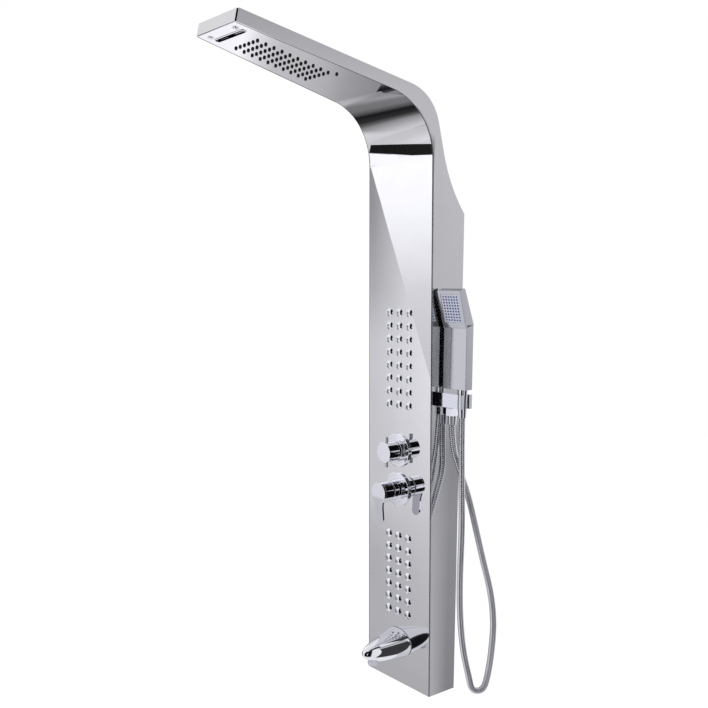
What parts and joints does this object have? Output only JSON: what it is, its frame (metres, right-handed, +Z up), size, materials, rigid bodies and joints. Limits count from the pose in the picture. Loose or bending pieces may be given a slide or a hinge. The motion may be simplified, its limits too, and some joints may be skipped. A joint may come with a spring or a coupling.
{
  "type": "shower panel column",
  "caption": "Bent stainless shower column with overhead rain arm, waterfall slot, body jets, diverter knob, lever mixer, tub spout and hand shower on a ribbed metal hose.",
  "frame": {"origin": "centre of the four wall screws, on the wall plane", "axes": "+X to the right seen from the front, +Y into the wall, +Z up"},
  "size_m": [0.3343, 0.5447, 1.3596],
  "materials": {
    "stainless_sheet": "satin stainless steel",
    "polished_steel": "polished stainless steel",
    "zinc_steel": "zinc-plated steel",
    "chrome": "bright chrome plate",
    "brass": "machined brass",
    "dark_silicone": "soft, matt",
    "blue_silicone": "soft, matt",
    "grey_plastic": "moulded, matt",
    "white_tube": "extruded, matt",
    "pale_plastic": "moulded, smooth",
    "silver_plastic": "satin silver plating on plastic"
  },
  "bodies": {
    "column": {"front_sheet": "stainless_sheet", "side_panel_left": "stainless_sheet", "side_panel_right": "stainless_sheet", "arm_cover": "stainless_sheet", "arm_end_cap": "polished_steel", "wall_rails": "zinc_steel", "hook_channels": "zinc_steel", "upper_jet_faces": "chrome", "upper_jet_nozzles": "dark_silicone", "upper_jet_nuts": "zinc_steel", "upper_water_box": "grey_plastic", "lower_jet_faces": "chrome", "lower_jet_nozzles": "dark_silicone", "lower_jet_nuts": "zinc_steel", "lower_water_box": "grey_plastic", "rain_nozzle_mat": "dark_silicone", "rain_chamber": "grey_plastic", "waterfall_outlet": "polished_steel", "arm_tip_screws": "polished_steel", "diverter_valve_body": "brass", "diverter_cartridge": "grey_plastic", "diverter_bonnet": "brass", "diverter_flange": "chrome", "diverter_collar": "chrome", "mixer_valve_body": "brass", "mixer_cartridge": "grey_plastic", "mixer_bonnet": "brass", "mixer_flange": "chrome", "mixer_sleeve": "chrome", "spout_body": "chrome", "spout_aerator": "pale_plastic", "spout_shank": "brass", "spout_gasket": "dark_silicone", "spout_nut": "zinc_steel", "spout_elbow": "brass", "hand_shower_holder": "chrome", "holder_nut": "zinc_steel", "hose_outlet_nut": "chrome", "shower_hose": "chrome", "waterfall_tube": "white_tube", "rain_tube": "white_tube", "upper_jet_tube": "white_tube", "jet_link_tube": "white_tube", "spout_tube": "white_tube", "hand_shower_tube": "white_tube", "valve_link_tube": "white_tube"},
    "diverter_grip": {"diverter_spindle": "brass", "diverter_knob": "chrome", "diverter_knob_pins": "chrome", "diverter_set_screw": "zinc_steel"},
    "mixer_fork": {"mixer_stem": "brass", "mixer_lever_pin": "zinc_steel"},
    "lever": {"mixer_lever": "chrome"},
    "hand_shower": {"hand_shower_body": "silver_plastic", "spray_plate": "pale_plastic", "spray_nozzle_mat": "blue_silicone", "hand_shower_inlet": "pale_plastic", "hose_cone_nut": "chrome"}
  },
  "joints": [
    {"name": "diverter_turn", "type": "hinge", "parent": "column", "child": "diverter_grip", "pos_m": [0, -0.11442, -0.0076], "axis": [0, -0.9998, -0.0175], "range_deg": [-144, 144]},
    {"name": "mixer_turn", "type": "hinge", "parent": "column", "child": "mixer_fork", "pos_m": [0, -0.09692, -0.09331], "axis": [0, -0.9998, -0.0175], "range_deg": [-50, 50]},
    {"name": "lever_lift", "type": "hinge", "parent": "mixer_fork", "child": "lever", "pos_m": [0, -0.09692, -0.09331], "axis": [-1, 0, 0], "range_deg": [0, 20]},
    {"name": "hand_shower_lift", "type": "slide", "parent": "column", "child": "hand_shower", "axis": [0, 0, 1], "range_m": [0, 0.05]}
  ]
}
